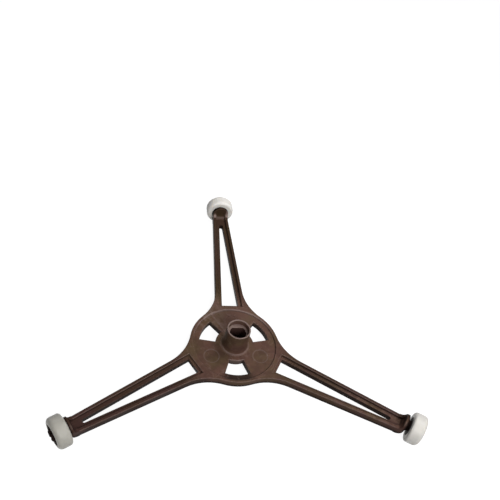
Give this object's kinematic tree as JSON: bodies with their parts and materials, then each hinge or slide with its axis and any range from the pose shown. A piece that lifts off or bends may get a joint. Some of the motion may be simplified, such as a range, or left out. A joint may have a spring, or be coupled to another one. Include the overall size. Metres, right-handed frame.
{
  "type": "turntable roller support",
  "caption": "Y-shaped turntable roller support: a slotted plastic frame with a raised D-socket drive boss at its hub and a free-running roller at each arm's tip.",
  "frame": {"origin": "centre of the drive boss's mouth, on the hub axis", "axes": "+Z out of the drive socket along the hub axis, +Y along the arm that the socket's flat faces, +X to the right of it"},
  "size_m": [0.1463, 0.1275, 0.0164],
  "materials": {
    "frame_plastic": "dark reddish brown moulded plastic, satin",
    "roller_plastic": "off-white moulded plastic, smooth"
  },
  "bodies": {
    "frame": {"frame": "frame_plastic"},
    "roller_top": {"roller_top": "roller_plastic"},
    "roller_left": {"roller_left": "roller_plastic"},
    "roller_right": {"roller_right": "roller_plastic"}
  },
  "joints": [
    {"name": "roller_top_spin", "type": "hinge", "parent": "frame", "child": "roller_top", "pos_m": [0, 0.0788, -0.01015], "axis": [0, 1, 0], "continuous": true},
    {"name": "roller_left_spin", "type": "hinge", "parent": "frame", "child": "roller_left", "pos_m": [-0.06768, -0.03907, -0.01015], "axis": [-0.866, -0.5, 0], "continuous": true},
    {"name": "roller_right_spin", "type": "hinge", "parent": "frame", "child": "roller_right", "pos_m": [0.06881, -0.03973, -0.01015], "axis": [0.866, -0.5, 0], "continuous": true}
  ]
}
